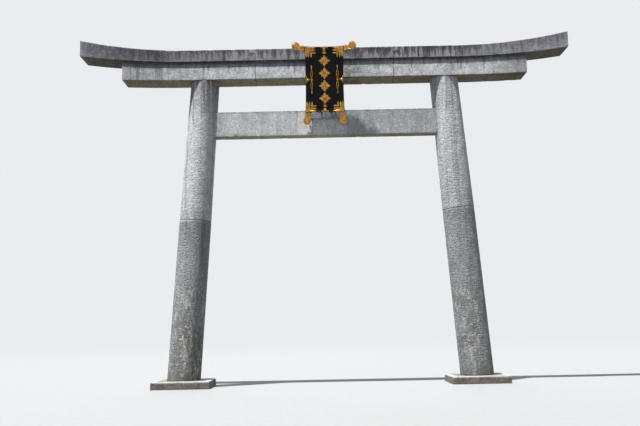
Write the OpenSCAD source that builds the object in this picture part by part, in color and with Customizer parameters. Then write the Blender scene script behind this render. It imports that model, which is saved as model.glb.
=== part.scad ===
// Stone torii gate with a lacquered and gilded name board.
// Millimetres. The origin is on the ground, midway between the pillars; the front faces -Y.

/* [Plinths] */
// Side of the square slab under each pillar
plinth_side = 1530; // [1200:10:1900]
// Thickness of the slab
plinth_height = 200; // [100:10:400]
// Bevel along the upper edges of the slab
plinth_bevel = 25; // [5:5:60]

/* [Pillars] */
// Distance between the pillar axes where they meet the slabs
pillar_spread_foot = 7840; // [6000:20:9000]
// Distance between the pillar axes under the lintel
pillar_spread_head = 6640; // [5000:20:7800]
// Pillar diameter at the foot
pillar_foot_d = 894; // [600:2:1100]
// Pillar diameter at its joint
pillar_joint_d = 864; // [580:2:1080]
// Pillar diameter under the lintel
pillar_head_d = 780; // [520:2:1000]
// Height of the pillar above its slab
pillar_height = 8134; // [6500:2:10000]
// Height of the joint in the left pillar above its slab
left_joint_height = 4280; // [2500:10:5500]
// Height of the joint in the right pillar above its slab
right_joint_height = 4490; // [2500:10:5500]

/* [Tie beam] */
// Clear height between the tie beam and the lintel
tie_beam_drop = 870; // [600:2:1400]
// Height of the tie beam
tie_beam_height = 696; // [400:2:900]
// Depth of the tie beam, front to back
tie_beam_depth = 394; // [250:2:500]
// How far each end is let into its pillar
tie_beam_tenon = 160; // [60:10:300]
// Width of the short strut between tie beam and lintel
strut_width = 420; // [250:10:700]

/* [Lintel] */
// Length of the lintel, tip to tip
lintel_length = 11146; // [9500:2:12400]
// Height of the lintel between the pillars
lintel_height = 507; // [350:1:700]
// Depth of the lintel, front to back
lintel_depth = 790; // [640:2:810]
// Rise of the lintel's underside at its tips
lintel_tip_rise = 43; // [15:1:120]
// Distance from the middle to the upright joints in the lintel
lintel_joint_x = 1900; // [1000:10:2400]

/* [Cap] */
// Length of the cap stones, tip to tip
cap_length = 13464; // [12600:2:15000]
// Height of the cap's front edge between the pillars
cap_edge_height = 326; // [200:1:500]
// Depth of the cap, front to back
cap_depth = 870; // [820:2:1100]
// Rise of the cap's underside at its tips
cap_tip_rise_below = 219; // [100:1:400]
// Rise of the cap's upper edge at its tips
cap_tip_rise_above = 337; // [160:1:600]
// Height of the ridge above the cap's front edge
cap_ridge_rise = 60; // [20:1:140]
// Distance from the middle to where the upward curve starts
curve_start_x = 3640; // [2600:10:4400]
// Length of the half lap between two cap stones
cap_lap_length = 175; // [60:5:400]
// Height of the ledge that carries the lap
cap_lap_height = 200; // [100:5:260]

/* [Name board] */
// Width over the frame
board_width = 1076; // [800:2:1300]
// Height over the frame, along its slope
board_height = 1803; // [1300:1:2100]
// Forward lean of the board in degrees
board_lean = 11.8; // [6:0.1:14]
// How far the board's lower edge lies below the lintel
board_drop = 958; // [900:2:1200]
// Clear gap between the board's back and the cap's lower front edge
board_cap_gap = 138; // [100:1:200]
// Clear gap between the board's curled feet and the face of the tie beam, at the least
board_beam_gap = 30; // [10:1:80]
// Width of the frame's rails
rail_width = 150; // [90:2:190]
// Depth of the rails at their outer edge
rail_outer_depth = 110; // [80:1:125]
// Depth of the rails at their inner edge
rail_inner_depth = 60; // [45:1:75]
// How far the rails' outer edges bow inward
rail_bow = 22; // [4:1:40]
// Width of the moulding between rails and panel
bead_width = 70; // [66:1:90]
// Depth of that moulding
bead_depth = 72; // [50:1:90]
// Thickness of the panel
panel_thickness = 38; // [20:1:44]
// Width of the battens across the board's back
batten_width = 110; // [60:5:160]
// Thickness of those battens
batten_thickness = 40; // [20:1:46]
// Distance of each batten's middle from the board's nearer edge
batten_inset = 150; // [100:5:320]

/* [Gilt fittings] */
// Thickness of the gilt sheet
gilt_thickness = 6; // [3:1:10]
// Length of the plain part of a corner fitting along the rail
corner_root = 175; // [155:5:240]
// Reach of a corner fitting's leaves along the rail
corner_reach = 315; // [260:5:400]
// Leaves on each half of a corner fitting, besides the one on the moulding
corner_leaves = 2; // [2:1:3]
// Lacquered margin between a corner fitting and the frame's outer edge
corner_margin = 14; // [6:1:24]
// Lacquered margin beside the fittings on the moulding
moulding_margin = 7; // [3:1:12]
// Length of the edge strip of a rail's middle fitting
middle_strip = 200; // [120:5:300]
// Radius of the round boss on a rail's middle fitting
middle_boss_r = 38; // [18:1:45]
// Width of the waisted fittings on the moulding above and below the panel
waisted_width = 120; // [80:5:160]
// Length of the pierced fittings on the moulding beside the panel
pierced_length = 800; // [600:10:1000]
// Width of those fittings' pierced leaves
pierced_width = 64; // [40:1:70]
// Width of the metal round its openings
pierced_rim = 14; // [8:1:16]
// Length of the plain leaf at each of its ends
pierced_tip = 110; // [60:5:160]
// Radius of the boss at its middle
pierced_boss_r = 28; // [18:1:32]
// Thickness of the curled ends of the frame
curl_thickness = 68; // [40:1:74]
// Radius of the knob at the end of each upper curl
upper_knob_r = 108; // [60:1:120]
// Radius of the knob at the end of each lower curl
lower_knob_r = 104; // [50:1:115]
// Diameter of the gilt flowers on the panel
flower_d = 330; // [160:5:340]
// Thickness of the gilt flowers
flower_thickness = 14; // [6:1:25]
// Number of flowers down the panel
flower_count = 4; // [1:1:4]

/* [Iron brackets] */
// Diameter of the bars that hold the board
bracket_bar_d = 36; // [20:1:50]
// Side of the square plate on the stone
bracket_plate = 120; // [80:5:160]
// Thickness of that plate
bracket_plate_thickness = 10; // [5:1:14]
// Distance between the left and right bars
bracket_spread = 280; // [200:10:300]

/* [Hidden] */

// Facets of a full circle on the pillars and on small round parts
pillar_fn = 96;
small_fn = 48;
// Length of one step along the upswept ends of the lintel and the cap
curve_step = 160;
// Steps along a bowed edge, and along one edge of a leaf
bow_steps = 16;
leaf_steps = 8;
// Reach of the cutting bodies past what they cut
past = 500;

// Levels above the ground
pillar_head_z = plinth_height + pillar_height;
tie_beam_top_z = pillar_head_z - tie_beam_drop;
tie_beam_z = tie_beam_top_z - tie_beam_height;
cap_z = pillar_head_z + lintel_height;
cap_ridge_height = cap_edge_height + cap_ridge_rise;
cap_pitch = atan(cap_ridge_rise / (cap_depth / 2));

// Inward lean of the pillars
pillar_lean = atan((pillar_spread_foot - pillar_spread_head) / 2 / pillar_height);
function pillar_axis_x(height) = pillar_spread_foot / 2 - height * tan(pillar_lean);
function pillar_radius(height, joint_height) =
    let (head = (height - joint_height) / (pillar_height - joint_height))
    (pillar_joint_d + (pillar_head_d - pillar_joint_d) * head) / 2;
tie_beam_middle = tie_beam_z + tie_beam_height / 2 - plinth_height;
tie_beam_inner_x = pillar_axis_x(tie_beam_middle) - pillar_head_d / 2;
tie_beam_length = 2 * (tie_beam_inner_x + tie_beam_tenon);

// Radius of an arc that starts level and climbs by rise over run
function arc_radius(run, rise) = (run * run + rise * rise) / (2 * rise);
// Points of an arc that starts level at the start of the curve and climbs outward
function rising_arc(radius, start_z, run) = [
    for (x = [for (i = [0 : ceil(run / curve_step)]) min(i * curve_step, run)])
        [curve_start_x + x, start_z + radius - sqrt(radius * radius - x * x)]
];
// Points of an edge along X that bulges to the given height at its middle
function bow(length, height, count) = [
    for (i = [0 : count])
        let (along = i / count)
        [length * along, 4 * height * along * (1 - along)]
];
function reversed(points) = [for (i = [len(points) - 1 : -1 : 0]) points[i]];
function all_but_last(points) = [for (i = [0 : len(points) - 2]) points[i]];
function all_but_ends(points) = [for (i = [1 : len(points) - 2]) points[i]];
cap_run = cap_length / 2 - curve_start_x;
cap_below_r = arc_radius(cap_run, cap_tip_rise_below);
cap_above_r = arc_radius(cap_run, cap_tip_rise_above);
lintel_below_r = arc_radius(lintel_length / 2 - curve_start_x, lintel_tip_rise);

// Opening inside the rails, and inside the moulding
opening_width = board_width - 2 * rail_width;
opening_height = board_height - 2 * rail_width;
panel_width = opening_width - 2 * bead_width;
panel_height = opening_height - 2 * bead_width;
flower_pitch = panel_height / flower_count;
// Flowers, kept apart where the panel is short
flower_gap = 8;
flower_size = min(flower_d, flower_pitch - flower_gap);
// Share of the spacing that a corner fitting's leaf fills
leaf_fill = 0.72;
// Clear strip between the curled ends and the faces of the rails
curl_setback = 6;
curl_back = rail_outer_depth - curl_thickness - curl_setback;

// Lower edge of the board, clear of the cap and of the tie beam
board_z = pillar_head_z - board_drop;
foot_reach = 3.2 * lower_knob_r;
board_offset_at_cap = cap_depth / 2 + board_cap_gap - (cap_z - board_z) * tan(board_lean);
board_offset_at_beam = tie_beam_depth / 2 + board_beam_gap
    + foot_reach * sin(board_lean) - curl_back * cos(board_lean);
board_offset = max(board_offset_at_cap, board_offset_at_beam);

stone = "#9c9a97";
dark_stone = "#85807f";
pale_stone = "#a9a7a2";
lacquer = "#15161a";
gilt = "#b88a3a";
iron = "#3a3632";

// Mirrors a right-hand piece for the left-hand side
module sided(side) {
    mirror([side < 0 ? 1 : 0, 0, 0]) children();
}

// A square slab with bevelled upper edges
module plinth(side) {
    half = plinth_side / 2;
    bevelled = [
        [-half, 0], [half, 0], [half, plinth_height - plinth_bevel],
        [half - plinth_bevel, plinth_height], [plinth_bevel - half, plinth_height],
        [-half, plinth_height - plinth_bevel]
    ];
    color(stone)
    translate([side * pillar_spread_foot / 2, 0, 0])
    intersection() {
        rotate([90, 0, 0])
            linear_extrude(plinth_side, center = true) polygon(bevelled);
        rotate([90, 0, 90])
            linear_extrude(plinth_side, center = true) polygon(bevelled);
    }
}

// Places its children along the leaning axis of the right pillar
module along_pillar() {
    translate([pillar_spread_foot / 2, 0, plinth_height])
    rotate([0, -pillar_lean, 0])
        children();
}

// The level space between the slab and the lintel
module pillar_storey() {
    translate([0, -pillar_foot_d, plinth_height])
        cube([pillar_spread_foot, 2 * pillar_foot_d, pillar_height]);
}

module pillar_lower(side, joint_height) {
    shrink = (pillar_foot_d - pillar_joint_d) / 2 / joint_height;
    color(stone)
    sided(side)
    intersection() {
        pillar_storey();
        along_pillar()
        translate([0, 0, -past])
            cylinder(
                h = joint_height + past,
                r1 = pillar_foot_d / 2 + shrink * past,
                r2 = pillar_joint_d / 2,
                $fn = pillar_fn
            );
    }
}

module pillar_upper(side, joint_height) {
    color(pale_stone)
    sided(side)
    difference() {
        intersection() {
            pillar_storey();
            along_pillar()
            translate([0, 0, joint_height])
                cylinder(
                    h = pillar_height + past - joint_height,
                    r1 = pillar_joint_d / 2,
                    r2 = pillar_radius(pillar_height + past, joint_height),
                    $fn = pillar_fn
                );
        }
        tie_beam_body();
    }
}

module tie_beam_body() {
    translate([-tie_beam_length / 2, -tie_beam_depth / 2, tie_beam_z])
        cube([tie_beam_length, tie_beam_depth, tie_beam_height]);
}

module tie_beam() {
    color(pale_stone) tie_beam_body();
}

module centre_strut() {
    color(pale_stone)
    translate([-strut_width / 2, -tie_beam_depth / 2, tie_beam_top_z])
        cube([strut_width, tie_beam_depth, pillar_head_z - tie_beam_top_z]);
}

// Side view of a wing: level as far as the start of the curve, then between two rising arcs
module wing_profile(from_x, to_x, height, below_r, above_r) {
    run = to_x - curve_start_x;
    polygon(concat(
        [[from_x, 0]], rising_arc(below_r, 0, run),
        reversed(rising_arc(above_r, height, run)), [[from_x, height]]
    ));
}

module side_view_extrude(depth) {
    rotate([90, 0, 0])
        linear_extrude(depth, center = true) children();
}

module lintel_wing(side) {
    color(pale_stone)
    sided(side)
    translate([0, 0, pillar_head_z])
    side_view_extrude(lintel_depth)
        wing_profile(lintel_joint_x, lintel_length / 2, lintel_height, lintel_below_r, cap_below_r);
}

module lintel_centre() {
    color(pale_stone)
    translate([-lintel_joint_x, -lintel_depth / 2, pillar_head_z])
        cube([2 * lintel_joint_x, lintel_depth, lintel_height]);
}

// Everything above one slope of the cap's weathered top; face is -1 in front and 1 behind
module above_slope(face) {
    top = 6 * cap_ridge_height;
    surface = rising_arc(cap_above_r, 0, cap_run);
    outer = surface[len(surface) - 1];
    intersection() {
        translate([0, face < 0 ? -cap_depth : 0, 0])
            cube([cap_length, cap_depth, top]);
        translate([0, 0, cap_ridge_height])
        rotate([-face * cap_pitch, 0, 0])
        side_view_extrude(2 * cap_depth)
            polygon(concat([[0, 0]], surface, [outer + [past, 0], [outer.x + past, top], [0, top]]));
    }
}

// Side view of the stone beside the middle one, with the ledge that carries the lap
module cap_wing_profile() {
    difference() {
        wing_profile(
            lintel_joint_x, cap_length / 2, cap_ridge_height + past, cap_below_r, cap_above_r
        );
        translate([lintel_joint_x, cap_lap_height])
            square([cap_lap_length, cap_ridge_height + past]);
    }
}

module cap_wing(side) {
    color(dark_stone)
    sided(side)
    translate([0, 0, cap_z])
    difference() {
        side_view_extrude(cap_depth) cap_wing_profile();
        above_slope(-1);
        above_slope(1);
    }
}

// Middle stone of the cap: its upper half reaches over the ledges of its neighbours
module cap_centre() {
    half_top = lintel_joint_x + cap_lap_length;
    gable = [
        [-cap_depth / 2, 0], [cap_depth / 2, 0], [cap_depth / 2, cap_edge_height],
        [0, cap_ridge_height], [-cap_depth / 2, cap_edge_height]
    ];
    color(dark_stone)
    translate([0, 0, cap_z])
    intersection() {
        rotate([90, 0, 90])
            linear_extrude(2 * half_top, center = true) polygon(gable);
        side_view_extrude(cap_depth)
        union() {
            translate([-lintel_joint_x, 0])
                square([2 * lintel_joint_x, cap_ridge_height]);
            translate([-half_top, cap_lap_height])
                square([2 * half_top, cap_ridge_height - cap_lap_height]);
        }
    }
}

// Places its children on the name board: X across, Y up its slope, Z out of its face
module on_board() {
    translate([0, -board_offset, board_z])
    rotate([90 + board_lean, 0, 0])
        children();
}

// Outline of a rail with mitred ends and a bowed outer edge, lying along X
module rail_outline(length) {
    polygon(concat(
        bow(length, rail_bow, bow_steps),
        [[length - rail_width, rail_width], [rail_width, rail_width]]
    ));
}

// The slice of a rail between its face and that face moved out by a thickness
module rail_section(length, low_outer, low_inner, thickness_outer, thickness_inner) {
    rotate([90, 0, 90])
    linear_extrude(length)
        polygon([
            [0, low_outer], [rail_width, low_inner],
            [rail_width, low_inner + thickness_inner], [0, low_outer + thickness_outer]
        ]);
}

// A flared rail, deeper at its outer edge
module rail(length) {
    intersection() {
        linear_extrude(rail_outer_depth) rail_outline(length);
        rail_section(length, 0, 0, rail_outer_depth, rail_inner_depth);
    }
}

// Gilt sheet of its children's outline, on the flared face of a rail, kept off its outer edge
module on_rail_face(length, margin) {
    intersection() {
        linear_extrude(rail_outer_depth + 2 * gilt_thickness)
        intersection() {
            rail_outline(length);
            translate([0, margin]) rail_outline(length);
            children();
        }
        rail_section(length, rail_outer_depth, rail_inner_depth, gilt_thickness, gilt_thickness);
    }
}

// Lays a rail's frame along each edge of the board
module along_bottom() {
    translate([-board_width / 2, 0, 0]) children();
}

module along_top() {
    translate([0, board_height, 0]) mirror([0, 1, 0]) along_bottom() children();
}

module along_left() {
    translate([-board_width / 2, board_height, 0]) rotate([0, 0, -90]) children();
}

module along_right() {
    mirror([1, 0, 0]) along_left() children();
}

module board_panel() {
    color(lacquer)
    on_board()
    translate([-panel_width / 2, (board_height - panel_height) / 2, 0])
        cube([panel_width, panel_height, panel_thickness]);
}

module board_bead() {
    color(lacquer)
    on_board()
    translate([0, board_height / 2, 0])
    linear_extrude(bead_depth)
    difference() {
        square([opening_width, opening_height], center = true);
        square([panel_width, panel_height], center = true);
    }
}

// A pointed leaf, symmetrical about X
module leaf(length, width) {
    upper = bow(length, width / 2, leaf_steps);
    lower = bow(length, -width / 2, leaf_steps);
    polygon(concat(lower, all_but_ends(reversed(upper))));
}

// One arm of a corner fitting: a plain root and a row of pointed leaves
module corner_arm() {
    leaf_pitch = (rail_width - corner_margin) / corner_leaves;
    polygon([[0, 0], [corner_root, 0], [corner_root, rail_width], [rail_width, rail_width]]);
    for (i = [0 : corner_leaves - 1]) {
        translate([corner_root / 2, corner_margin + (i + 0.5) * leaf_pitch])
            leaf(corner_reach - corner_root / 2, leaf_fill * leaf_pitch);
    }
}

// Lays gilt sheet of its children's outline on the moulding
module on_moulding() {
    translate([0, 0, bead_depth]) linear_extrude(gilt_thickness) children();
}

// Outline of the fitting on a corner of the moulding: a square with a leaf along each side
module moulding_corner() {
    side = bead_width - 2 * moulding_margin;
    middle = rail_width + bead_width / 2;
    translate([middle, middle]) {
        square(side, center = true);
        leaf(corner_reach - middle, leaf_fill * side);
        mirror([1, -1]) leaf(corner_reach - middle, leaf_fill * side);
    }
}

module corner_fitting(across, up) {
    color(gilt)
    on_board()
    translate([0, board_height / 2, 0])
    mirror([across > 0 ? 1 : 0, 0, 0])
    mirror([0, up > 0 ? 1 : 0, 0])
    translate([0, -board_height / 2, 0])
    union() {
        along_bottom() on_rail_face(board_width, corner_margin) corner_arm();
        translate([0, board_height, 0])
        mirror([0, 1, 0])
        along_left()
            on_rail_face(board_height, corner_margin) corner_arm();
        along_bottom() on_moulding() moulding_corner();
    }
}

// Fitting at the middle of a rail: edge strip, cross leaf and stepped round boss
module rail_fitting(length) {
    strip_height = rail_width / 5;
    leaf_start = rail_bow + strip_height / 2;
    color(gilt)
    union() {
        on_rail_face(length, 0)
        union() {
            translate([(length - middle_strip) / 2, 0])
                square([middle_strip, rail_bow + strip_height]);
            translate([length / 2, leaf_start])
            rotate(90)
                leaf(rail_width - strip_height / 4 - leaf_start, rail_width / 2);
        }
        translate([length / 2, rail_width / 2, (rail_outer_depth + rail_inner_depth) / 2])
        rotate([-atan((rail_outer_depth - rail_inner_depth) / rail_width), 0, 0]) {
            cylinder(h = 2 * gilt_thickness, r = middle_boss_r, $fn = small_fn);
            cylinder(h = 4 * gilt_thickness, r = middle_boss_r / 2, $fn = small_fn);
        }
    }
}

// Fittings at the middle of the top or the bottom rail: one on the rail and one on the moulding
module cross_rail_fitting() {
    half = waisted_width / 2;
    near = rail_width + moulding_margin;
    far = rail_width + bead_width - moulding_margin;
    waist = (near + far) / 2;
    rail_fitting(board_width);
    color(gilt)
    translate([board_width / 2, 0, 0])
    on_moulding()
        polygon([
            [-half, near], [half, near], [half / 3, waist],
            [half, far], [-half, far], [-half / 3, waist]
        ]);
}

// Half of a pierced fitting, along X: half a boss, a pierced leaf and a plain leaf
module pierced_half() {
    half = pierced_length / 2;
    ring_start = pierced_boss_r - pierced_rim;
    ring_end = half - pierced_tip;
    translate([ring_start, 0])
    difference() {
        leaf(ring_end - ring_start, pierced_width);
        translate([2 * pierced_rim, 0])
            leaf(ring_end - ring_start - 4 * pierced_rim, pierced_width - 2 * pierced_rim);
    }
    translate([ring_end - pierced_rim, 0])
        leaf(pierced_tip + pierced_rim, pierced_width / 2);
}

// Pierced fitting on the moulding beside the panel
module pierced_fitting(side) {
    color(gilt)
    on_board()
    translate([side * (panel_width + bead_width) / 2, board_height / 2, 0])
    on_moulding()
    union() {
        circle(pierced_boss_r, $fn = small_fn);
        for (turn = [90, 270]) rotate(turn) pierced_half();
    }
}

// Outline of the whole frame with its four bowed edges
module frame_outline() {
    across = all_but_last(bow(board_width, rail_bow, bow_steps));
    up = all_but_last(bow(board_height, rail_bow, bow_steps));
    half = board_width / 2;
    polygon(concat(
        [for (p = across) [p.x - half, p.y]],
        [for (p = up) [half - p.y, p.x]],
        [for (p = across) [half - p.x, board_height - p.y]],
        [for (p = up) [p.y - half, board_height - p.x]]
    ));
}

// A curled end seated on the frame's edge, on the right-hand side
module curl(side) {
    color(gilt)
    on_board()
    sided(side)
    translate([0, 0, curl_back])
    difference() {
        union() children();
        translate([0, 0, -curl_back])
            linear_extrude(rail_outer_depth) frame_outline();
    }
}

// Round knob of a curled end
module knob(x, y, r) {
    translate([x, y, 0]) cylinder(h = curl_thickness, r = r, $fn = small_fn);
}

// Gilt end of the top rail, curling up and out; its outline is drawn in radii of the knob
module curl_top(side) {
    r = upper_knob_r;
    curl(side)
    translate([board_width / 2, board_height, 0])
    union() {
        linear_extrude(curl_thickness)
            polygon([
                [-rail_bow, -1.15 * r], [-rail_bow, -0.15 * r], [0.8 * r, -0.1 * r],
                [1.4 * r, 0.55 * r], [2.15 * r, 0.05 * r], [2.05 * r, -0.85 * r]
            ]);
        knob(2.15 * r, 0.05 * r, r);
        knob(0.45 * r, -0.2 * r, 0.42 * r);
    }
}

// Gilt foot of a side rail, reaching down and out; its outline is drawn in radii of the knob
module curl_bottom(side) {
    r = lower_knob_r;
    curl(side)
    translate([board_width / 2 - 0.375 * r, 0, 0])
    union() {
        linear_extrude(curl_thickness)
            polygon([
                [0.28 * r, rail_bow], [-1.08 * r, rail_bow],
                [-0.9 * r, -2.1 * r], [0, -2.12 * r], [0.9 * r, -1.95 * r]
            ]);
        knob(0, -2.12 * r, r);
    }
}

// Four-petalled gilt flowers in a column
module panel_flowers() {
    color(gilt)
    on_board()
    for (i = [0 : flower_count - 1]) {
        translate([0, (board_height - panel_height) / 2 + (i + 0.5) * flower_pitch, panel_thickness])
        linear_extrude(flower_thickness)
        union() {
            for (turn = [0 : 90 : 270]) {
                rotate(turn) leaf(flower_size / 2, flower_size / 4);
                rotate(turn + 45) leaf(0.4 * flower_size, flower_size / 7);
            }
            circle(flower_size / 10, $fn = small_fn);
        }
    }
}

module batten(middle_y) {
    color(lacquer)
    on_board()
    translate([-opening_width / 2 - rail_width / 2, middle_y - batten_width / 2, -batten_thickness])
        cube([opening_width + rail_width, batten_width, batten_thickness]);
}

// Iron bar from a plate on the stone to the batten behind the board
module bracket(x, level, stone_face, along_board) {
    color(iron)
    translate([x, 0, 0])
    union() {
        translate([0, -stone_face - bracket_plate_thickness / 2, level])
            cube([bracket_plate, bracket_plate_thickness, bracket_plate], center = true);
        difference() {
            translate([0, -stone_face, level])
            rotate([90, 0, 0])
                cylinder(h = board_offset + past, d = bracket_bar_d, $fn = small_fn);
            on_board()
            translate([-past, along_board - past, -batten_thickness])
                cube([2 * past, 2 * past, 2 * past]);
        }
    }
}

// Level at which a bar meets the board at a distance up its slope
function board_level(along_board) =
    board_z + along_board * cos(board_lean) - batten_thickness * sin(board_lean);

module bracket_upper(side) {
    along_board = board_height - batten_inset;
    bracket(side * bracket_spread / 2, board_level(along_board), cap_depth / 2, along_board);
}

// The lower bars are fixed to the strut, so their plates stay within its width
module bracket_lower(side) {
    spread = min(bracket_spread, strut_width - bracket_plate);
    bracket(side * spread / 2, board_level(batten_inset), tie_beam_depth / 2, batten_inset);
}

plinth(-1);  // plinth_left
plinth(1);  // plinth_right
pillar_lower(-1, left_joint_height);  // pillar_left_lower
pillar_upper(-1, left_joint_height);  // pillar_left_upper
pillar_lower(1, right_joint_height);  // pillar_right_lower
pillar_upper(1, right_joint_height);  // pillar_right_upper
tie_beam();
centre_strut();
lintel_wing(-1);  // lintel_left
lintel_centre();
lintel_wing(1);  // lintel_right
cap_wing(-1);  // cap_left
cap_centre();
cap_wing(1);  // cap_right
board_panel();
board_bead();
color(lacquer) on_board() along_top() rail(board_width);  // board_rail_top
color(lacquer) on_board() along_bottom() rail(board_width);  // board_rail_bottom
color(lacquer) on_board() along_left() rail(board_height);  // board_rail_left
color(lacquer) on_board() along_right() rail(board_height);  // board_rail_right
corner_fitting(-1, 1);  // corner_fitting_top_left
corner_fitting(1, 1);  // corner_fitting_top_right
corner_fitting(-1, -1);  // corner_fitting_bottom_left
corner_fitting(1, -1);  // corner_fitting_bottom_right
on_board() along_top() cross_rail_fitting();  // rail_fitting_top
on_board() along_bottom() cross_rail_fitting();  // rail_fitting_bottom
on_board() along_left() rail_fitting(board_height);  // rail_fitting_left
on_board() along_right() rail_fitting(board_height);  // rail_fitting_right
pierced_fitting(-1);  // pierced_fitting_left
pierced_fitting(1);  // pierced_fitting_right
curl_top(-1);  // curl_top_left
curl_top(1);  // curl_top_right
curl_bottom(-1);  // curl_bottom_left
curl_bottom(1);  // curl_bottom_right
panel_flowers();
batten(board_height - batten_inset);  // batten_upper
batten(batten_inset);  // batten_lower
bracket_upper(-1);  // bracket_upper_left
bracket_upper(1);  // bracket_upper_right
bracket_lower(-1);  // bracket_lower_left
bracket_lower(1);  // bracket_lower_right
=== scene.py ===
"""Looks of a stone torii gate: weathered granite, and a black lacquered board with gilt fittings.

Metres. +Z is up, the front faces -Y, and the origin is on the ground midway between the pillars.
Colours are linear red, green and blue.
"""

from math import atan2, copysign, cos, inf, pi, radians, sin, sqrt, tan

import bmesh
import bpy
from mathutils import Matrix, Vector, noise
from mathutils.geometry import interpolate_bezier


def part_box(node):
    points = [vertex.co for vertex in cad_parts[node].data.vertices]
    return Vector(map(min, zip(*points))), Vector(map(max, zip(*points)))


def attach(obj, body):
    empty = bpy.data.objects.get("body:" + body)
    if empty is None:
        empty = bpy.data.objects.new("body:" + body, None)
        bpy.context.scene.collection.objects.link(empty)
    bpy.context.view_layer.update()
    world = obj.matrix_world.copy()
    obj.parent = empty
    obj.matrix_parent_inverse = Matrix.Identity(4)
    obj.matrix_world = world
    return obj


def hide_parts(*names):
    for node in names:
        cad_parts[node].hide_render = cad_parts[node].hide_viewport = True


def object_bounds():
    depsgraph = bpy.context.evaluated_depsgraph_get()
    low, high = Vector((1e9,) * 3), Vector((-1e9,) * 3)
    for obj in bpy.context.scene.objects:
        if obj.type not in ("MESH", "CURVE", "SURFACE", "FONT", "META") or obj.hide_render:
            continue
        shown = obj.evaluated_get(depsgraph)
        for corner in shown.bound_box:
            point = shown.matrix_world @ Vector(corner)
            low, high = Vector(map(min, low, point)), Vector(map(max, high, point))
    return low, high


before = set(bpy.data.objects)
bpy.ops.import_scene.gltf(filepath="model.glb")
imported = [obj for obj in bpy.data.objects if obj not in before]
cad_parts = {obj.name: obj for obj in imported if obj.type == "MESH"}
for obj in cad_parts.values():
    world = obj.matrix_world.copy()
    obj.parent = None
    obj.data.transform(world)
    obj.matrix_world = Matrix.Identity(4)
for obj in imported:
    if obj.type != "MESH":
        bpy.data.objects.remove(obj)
cad_low, cad_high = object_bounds()

# Camera: the photograph is 640 pixels wide; yaw, pitch and roll are from straight along +Y
IMAGE_WIDTH = 640
FOCAL_PIXELS = 880.07
SENSOR_WIDTH = 36
CAMERA_PLACE = Vector((-0.168, -23.898, 1.553))
CAMERA_YAW = 0.0012
CAMERA_PITCH = 0.12822
CAMERA_ROLL = -0.01965

# Light: a high sun from the upper left front, a weak broad one from behind, and a pale sky
SUN_TRAVEL = Vector((1.2, 1, -4.6))
SUN_STRENGTH = 6.4
SUN_SOFTNESS = 0.03
FILL_TRAVEL = Vector((0.15, -1, -0.5))
FILL_STRENGTH = 1.1
FILL_SOFTNESS = 0.9
SKY_STRENGTH = 0.3
SKY_COLOUR = (0.78, 0.94, 1.17)
BACKDROP = (0.82, 0.84, 0.87)
FLOOR_COLOUR = (0.355, 0.355, 0.35)
FLOOR_BOUNCE = (0.115, 0.105, 0.09)
FLOOR_RADIUS = 400
FLOOR_SEGMENTS = 96
FLOOR_FADE = (14, 60)

# Tones of the stones: place along X, or height on the pillars, and grey value
CAP_TONES = [
    (-6.73, 0.42), (-6.5, 0.17), (-5, 0.088), (-2.5, 0.145), (-2, 0.24), (-1, 0.17), (1.7, 0.09),
    (3.5, 0.1), (5, 0.28), (6.73, 0.29)
]
CAP_STREAKINESS = [(-6.73, 0.35), (-5, 0.35), (-2, 0.95), (3.6, 1), (4.6, 0.55), (6.73, 0.5)]
LINTEL_TONES = [
    (-5.57, 0.5), (-5, 0.49), (-3.4, 0.65), (0.2, 0.68), (0.85, 0.57), (1.9, 0.7), (4.5, 0.67),
    (5.2, 0.42), (5.57, 0.38)
]
# On the tie beam the high tones near the middle, under the board, are partly painted light that brightens
# the board's shadow.
BEAM_TONES = [
    (-3.3, 0.54), (-2.8, 0.66), (-0.3, 0.78), (0.35, 0.74), (0.75, 0.48), (2.9, 0.48), (3.3, 0.42)
]
LEFT_PILLAR_TONES = [
    (0.2, 0.24), (0.7, 0.3), (2.2, 0.34), (3.4, 0.38), (4.38, 0.29), (4.46, 0.54), (6, 0.67),
    (7.2, 0.62), (7.8, 0.48), (8.33, 0.42)
]
RIGHT_PILLAR_TONES = [
    (0.2, 0.28), (1, 0.32), (2.5, 0.34), (3.4, 0.38), (4.6, 0.35), (4.68, 0.52), (6, 0.62),
    (7.2, 0.7), (7.8, 0.72), (8.33, 0.6)
]

# Lime runs on the tie beam: place and half width along X, share of the height they start at, strength
LIME_RUNS = [
    (-2.17, 0.1, 0.7, 0.25), (-1.05, 0.05, 0.8, 0.6), (-0.58, 0.16, 1.1, 0.85), (0.95, 0.04, 0.9, 0.3),
    (1.43, 0.07, 0.6, 0.7), (1.72, 0.04, 0.95, 0.35), (2.3, 0.05, 0.8, 0.2)
]
LIME = (0.86, 0.86, 0.84)
LIME_SHIFT_BEHIND = 0.93

# Painted shade with warm bounce light: tints that multiply the colour of undersides
UNDERSIDE_SHADE = (0.68, 0.62, 0.48)
LINTEL_UNDERSIDE_SHADE = (0.54, 0.48, 0.36)
RIGHT_END_UNDERSIDE_SHADE = (0.295, 0.255, 0.185)
CAP_UNDERSIDE_SHADE = (0.35, 0.33, 0.245)

# Relief of dressed faces: depth, lumps to a metre, their flatness, and the roughness of their noise
FINE_DRESSING = (0.018, 19, 1, 0.72)
COARSE_DRESSING = (0.023, 12, 1.8, 0.52)

# How quickly the pattern of drips changes with height, and places where a pattern looks unrelated
DRIP_CHANGE = 0.7
ELSEWHERE = (40, 0, 0)

# Stones: their edges, joints and faces
WELD = 1e-5
FLAT_ANGLE = 0.001
SHARP_ANGLE = radians(20)
SMOOTH_ANGLE = radians(50)
EDGE_BEVEL = 0.013
JOINT_BEVEL = 0.007
ROUND = 0.5
CONTACT_REACH = 0.001
CUT = 0.05
CAP_LAP_HEIGHT = 0.2
WORN_EDGE = 1
JOINT_EDGE = 2
X, Y, Z = range(3)

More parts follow.
